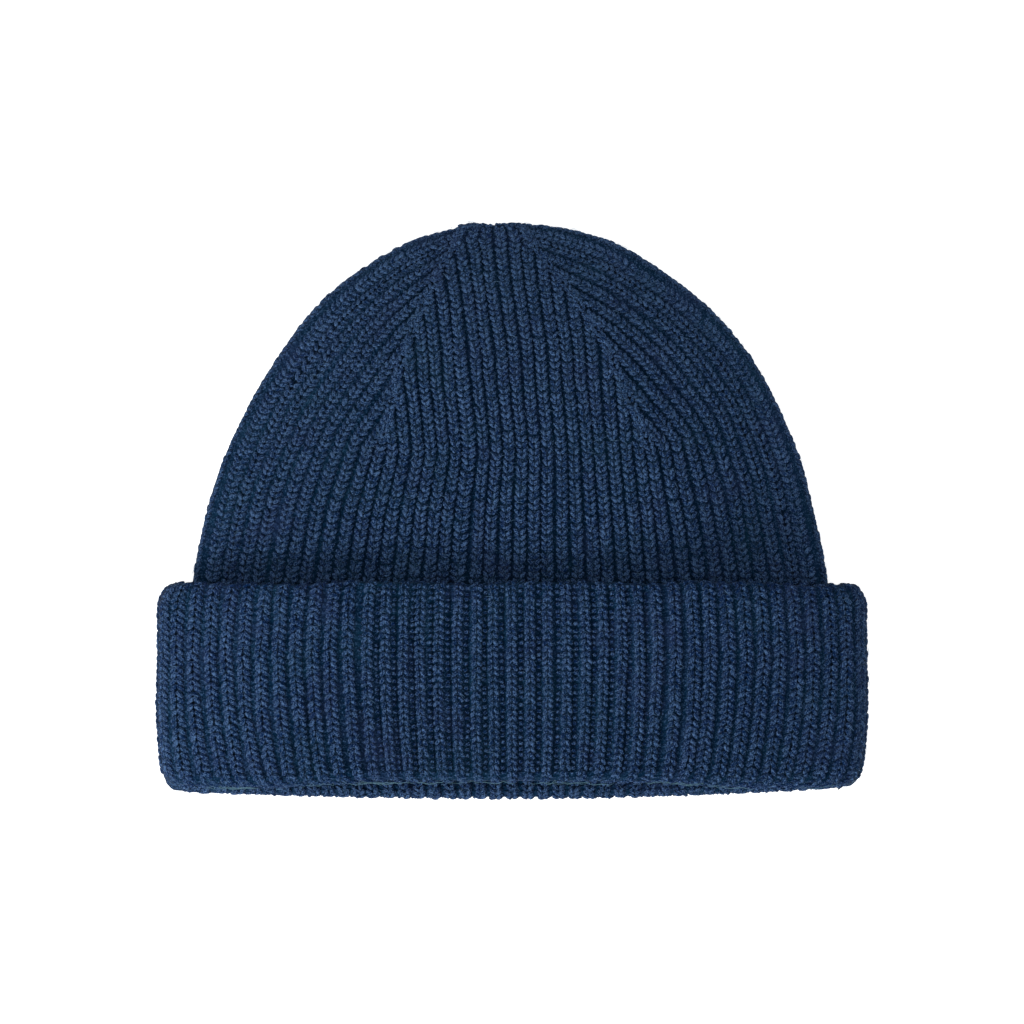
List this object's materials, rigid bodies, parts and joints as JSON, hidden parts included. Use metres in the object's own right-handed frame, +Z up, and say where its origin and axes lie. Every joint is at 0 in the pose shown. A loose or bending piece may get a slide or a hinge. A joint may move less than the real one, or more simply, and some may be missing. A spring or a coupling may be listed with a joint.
{
  "type": "short rib-knit beanie with a turned-up cuff",
  "caption": "Short close-fitting beanie in rib-knit wool with a rounded, dart-shaped crown and a deep turned-up cuff, lying on its back with the hem open.",
  "frame": {"origin": "on the surface that the hat lies on, under the middle of its width and length", "axes": "+X across the hat to the right as the front is seen, +Y from the hem to the top of the crown, +Z up out of the hat's front face"},
  "size_m": [0.2302, 0.186, 0.036],
  "materials": {
    "crown_knit": "matte navy wool, one-by-one rib knit",
    "cuff_knit": "matte navy wool, one-by-one rib knit, turned up"
  },
  "bodies": {
    "root": {"crown": "crown_knit", "cuff": "cuff_knit"}
  },
  "joints": []
}
